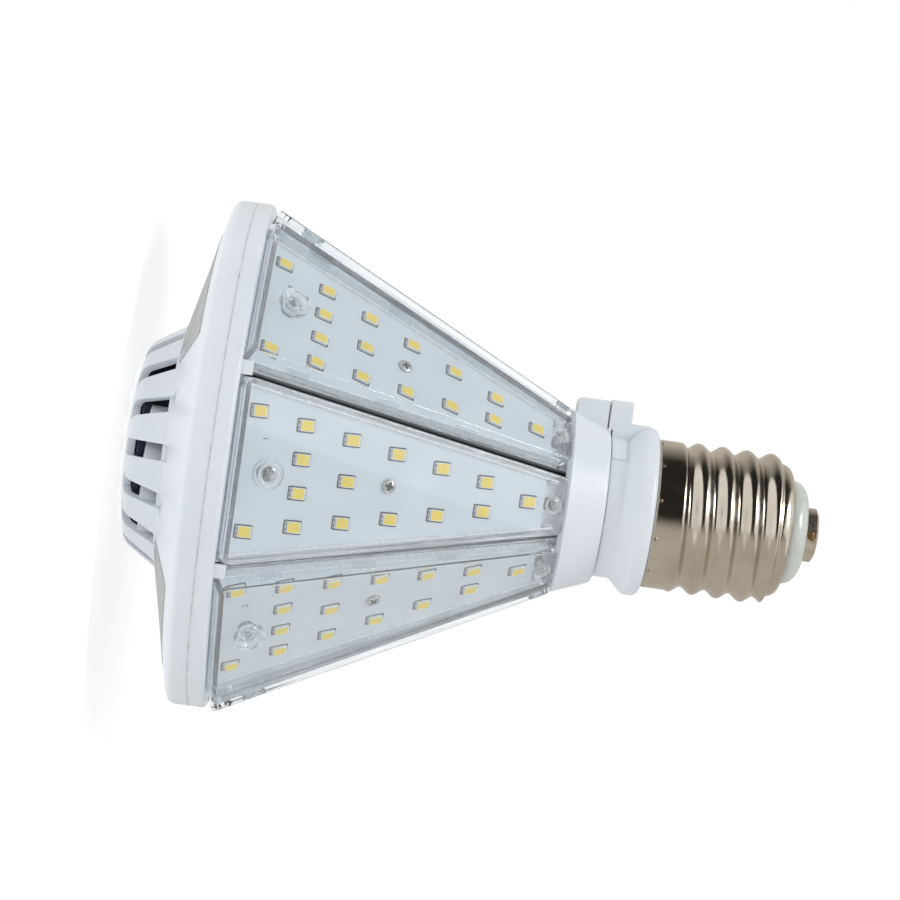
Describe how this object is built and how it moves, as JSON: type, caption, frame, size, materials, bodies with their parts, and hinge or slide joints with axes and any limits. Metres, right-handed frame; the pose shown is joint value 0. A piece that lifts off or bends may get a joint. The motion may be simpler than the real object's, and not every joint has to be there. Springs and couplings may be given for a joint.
{
  "type": "corn led bulb",
  "caption": "Cone-shaped corn lamp with flat light panels under clear covers, a fan behind a vented cap and a large screw base.",
  "frame": {"origin": "centre of the flat end face of the vented cap, on which the lamp stands", "axes": "+Z along the lamp axis from the cap to the screw base, -X towards the ears, -Y square to the first panel"},
  "size_m": [0.131, 0.131, 0.179],
  "materials": {
    "white_plastic": "smooth glossy moulding",
    "grey_film": "matte blank film",
    "filter_foam": "dark open foam",
    "black_plastic": "satin moulding",
    "steel": "plated",
    "aluminium": "mill finish",
    "white_board": "white solder mask",
    "light_source": "white body with yellow phosphor",
    "clear_plastic": "clear polished moulding",
    "clear_screw": "clear moulding",
    "nickel": "nickel plated",
    "insulator_white": "translucent greenish white",
    "green_board": "green solder mask",
    "capacitor_sleeve": "shrink sleeve",
    "transformer_tape": "taped winding",
    "choke_core": "coated core",
    "red_lead": "insulated wire",
    "white_lead": "insulated wire",
    "black_lead": "insulated wire"
  },
  "bodies": {
    "lamp": {"rear_housing": "white_plastic", "front_ring": "white_plastic", "collar": "white_plastic", "neck": "white_plastic", "skirt_films": "grey_film", "dust_filter": "filter_foam", "fan_frame": "black_plastic", "fan_screws": "steel", "board_screws": "steel", "heat_plate_1": "aluminium", "led_board_1": "white_board", "leds_1": "light_source", "cover_1": "clear_plastic", "heat_plate_2": "aluminium", "led_board_2": "white_board", "leds_2": "light_source", "cover_2": "clear_plastic", "heat_plate_3": "aluminium", "led_board_3": "white_board", "leds_3": "light_source", "cover_3": "clear_plastic", "heat_plate_4": "aluminium", "led_board_4": "white_board", "leds_4": "light_source", "cover_4": "clear_plastic", "heat_plate_5": "aluminium", "led_board_5": "white_board", "leds_5": "light_source", "cover_5": "clear_plastic", "heat_plate_6": "aluminium", "led_board_6": "white_board", "leds_6": "light_source", "cover_6": "clear_plastic", "heat_plate_7": "aluminium", "led_board_7": "white_board", "leds_7": "light_source", "cover_7": "clear_plastic", "heat_plate_8": "aluminium", "led_board_8": "white_board", "leds_8": "light_source", "cover_8": "clear_plastic", "cover_screws": "clear_screw", "screw_shell": "nickel", "centre_contact": "nickel", "insulator": "insulator_white", "driver_board": "green_board", "capacitor": "capacitor_sleeve", "transformer": "transformer_tape", "choke": "choke_core", "contact_lead": "red_lead", "shell_lead": "white_lead", "fan_lead": "black_lead"},
    "rotor": {"fan_rotor": "black_plastic"}
  },
  "joints": [
    {"name": "fan_spin", "type": "hinge", "parent": "lamp", "child": "rotor", "pos_m": [0, 0, 0.02], "axis": [0, 0, 1], "continuous": true}
  ]
}
